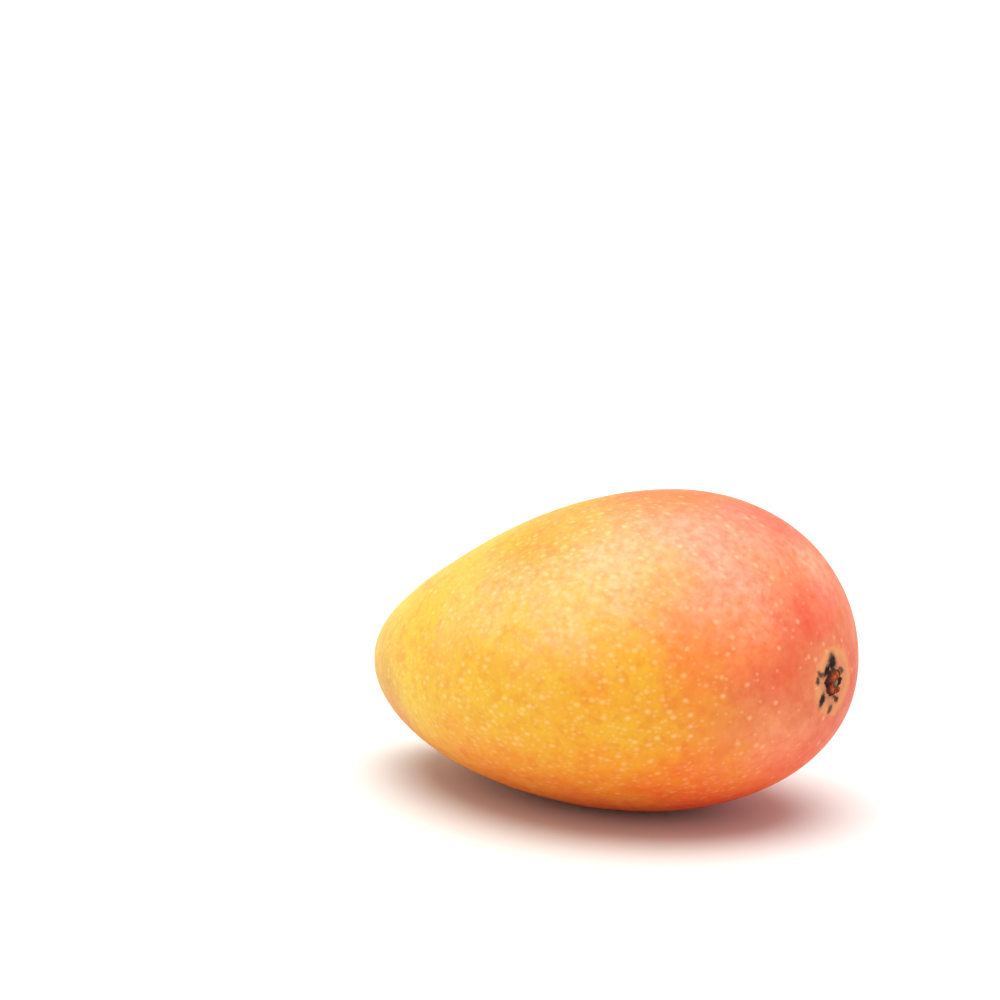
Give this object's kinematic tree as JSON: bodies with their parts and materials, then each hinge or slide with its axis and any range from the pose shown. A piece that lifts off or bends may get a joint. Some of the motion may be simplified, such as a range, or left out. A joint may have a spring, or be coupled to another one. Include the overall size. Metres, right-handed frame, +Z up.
{
  "type": "mango",
  "caption": "Ripe ovate mango lying on its cheek, yellow at the apex and blushed orange to red at the stem end, with a woody stem button set in it.",
  "frame": {"origin": "on the surface that the fruit lies on, under the middle of its box", "axes": "+X along the fruit towards its stem end, +Y to the edge that the apex turns towards, +Z up through the cheeks"},
  "size_m": [0.1208, 0.083, 0.0692],
  "materials": {
    "mango_skin": "waxy satin skin, yellow to orange-red, with pale lenticel dots",
    "dry_stem": "dry matt bark"
  },
  "bodies": {
    "root": {"fruit": "mango_skin", "stem_button": "dry_stem"}
  },
  "joints": []
}
